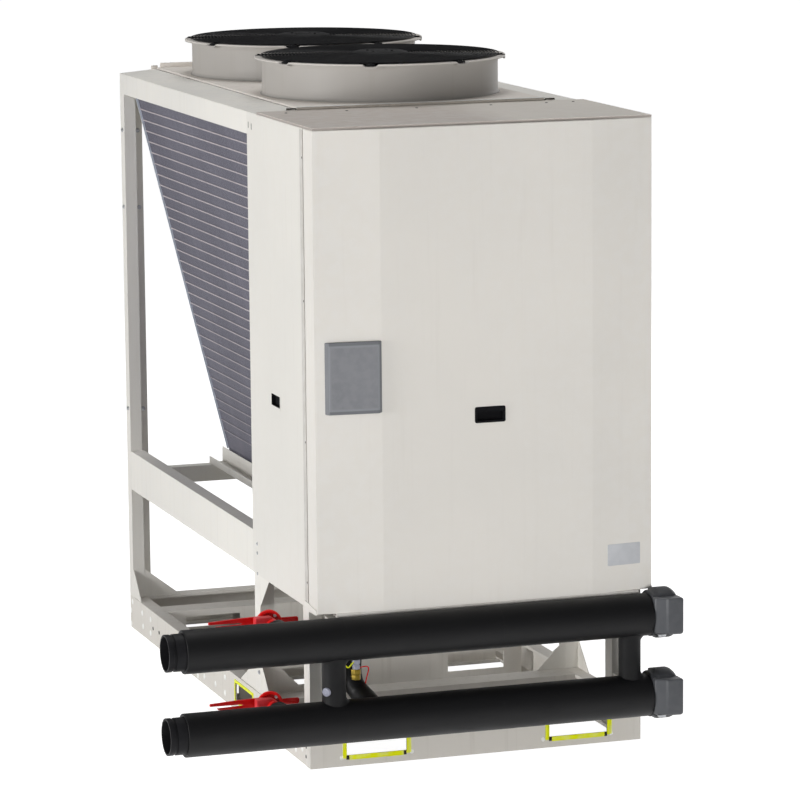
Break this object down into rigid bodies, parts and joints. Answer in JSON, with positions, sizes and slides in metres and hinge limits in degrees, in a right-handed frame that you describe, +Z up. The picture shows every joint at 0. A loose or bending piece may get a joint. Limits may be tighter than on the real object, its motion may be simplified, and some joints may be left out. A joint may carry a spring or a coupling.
{
  "type": "air-cooled water chiller module",
  "caption": "Rooftop water chiller module: fans above V-shaped coils in an open steel frame, a tall front cabinet, and insulated water headers with red valve levers across the front.",
  "frame": {"origin": "bottom centre of the whole object's bounding box, on the ground", "axes": "+Z up; +X to the right along the front, seen from in front; +Y from the front cabinet to the back"},
  "size_m": [1.7002, 2.48, 2.2229],
  "materials": {
    "cabinet_paint": "satin off-white powder coat",
    "frame_paint": "satin off-white paint on folded steel",
    "grey_cover": "matt mid grey",
    "black_plastic": "satin black",
    "pipe_insulation": "matt black closed-cell foam",
    "coupling_grey": "dark grey paint on a cast coupling",
    "coil_fins": "bluish fins with copper tube lines",
    "red_paint": "gloss red",
    "brass": "bright"
  },
  "bodies": {
    "unit": {"base_beam_front": "frame_paint", "base_beam_rear": "frame_paint", "base_cross_front": "frame_paint", "base_cross_mid_a": "frame_paint", "base_cross_mid_b": "frame_paint", "base_cross_rear": "frame_paint", "base_rail_left": "frame_paint", "base_rail_right": "frame_paint", "brass_fitting": "brass", "cabinet_body": "cabinet_paint", "coil_left": "coil_fins", "coil_right": "coil_fins", "control_cover": "grey_cover", "coupling_lower": "coupling_grey", "coupling_upper": "coupling_grey", "drain_pan": "frame_paint", "fan_deck_front": "frame_paint", "fan_deck_rear": "frame_paint", "fan_guard_front": "black_plastic", "fan_guard_rear": "black_plastic", "fan_ring_front": "frame_paint", "fan_ring_rear": "frame_paint", "front_panel": "cabinet_paint", "handle_front": "black_plastic", "handle_left": "black_plastic", "handle_right": "black_plastic", "header_branch_left": "pipe_insulation", "header_branch_right": "pipe_insulation", "header_lower": "pipe_insulation", "header_upper": "pipe_insulation", "plenum_end_panel": "frame_paint", "post_front_left": "frame_paint", "post_front_right": "frame_paint", "post_mid_left": "frame_paint", "post_mid_right": "frame_paint", "post_rear_left": "frame_paint", "post_rear_right": "frame_paint", "rear_mid_beam": "frame_paint", "rear_top_beam": "frame_paint", "roof_frame": "frame_paint", "roof_front": "cabinet_paint", "side_beam_left": "frame_paint", "side_beam_right": "frame_paint", "side_panel_left": "cabinet_paint", "side_panel_right": "cabinet_paint", "supply_riser": "pipe_insulation", "top_beam_left": "frame_paint", "top_beam_right": "frame_paint", "valve_plate_lower": "red_paint", "valve_plate_upper": "red_paint"},
    "fan_front": {"fan_rotor_front": "black_plastic"},
    "fan_rear": {"fan_rotor_rear": "black_plastic"},
    "lever_upper": {"valve_lever_upper": "red_paint"},
    "lever_lower": {"valve_lever_lower": "red_paint"}
  },
  "joints": [
    {"name": "fan_front_spin", "type": "hinge", "parent": "unit", "child": "fan_front", "pos_m": [0.22685, -0.066, 2.1286], "axis": [0, 0, 1], "continuous": true},
    {"name": "fan_rear_spin", "type": "hinge", "parent": "unit", "child": "fan_rear", "pos_m": [0.22685, 0.804, 2.1286], "axis": [0, 0, 1], "continuous": true},
    {"name": "valve_upper_turn", "type": "hinge", "parent": "unit", "child": "lever_upper", "pos_m": [-0.43915, -0.89, 0.463], "axis": [0, 1, 0], "range_deg": [0, 90]},
    {"name": "valve_lower_turn", "type": "hinge", "parent": "unit", "child": "lever_lower", "pos_m": [-0.43915, -0.89, 0.197], "axis": [0, 1, 0], "range_deg": [0, 90]}
  ]
}
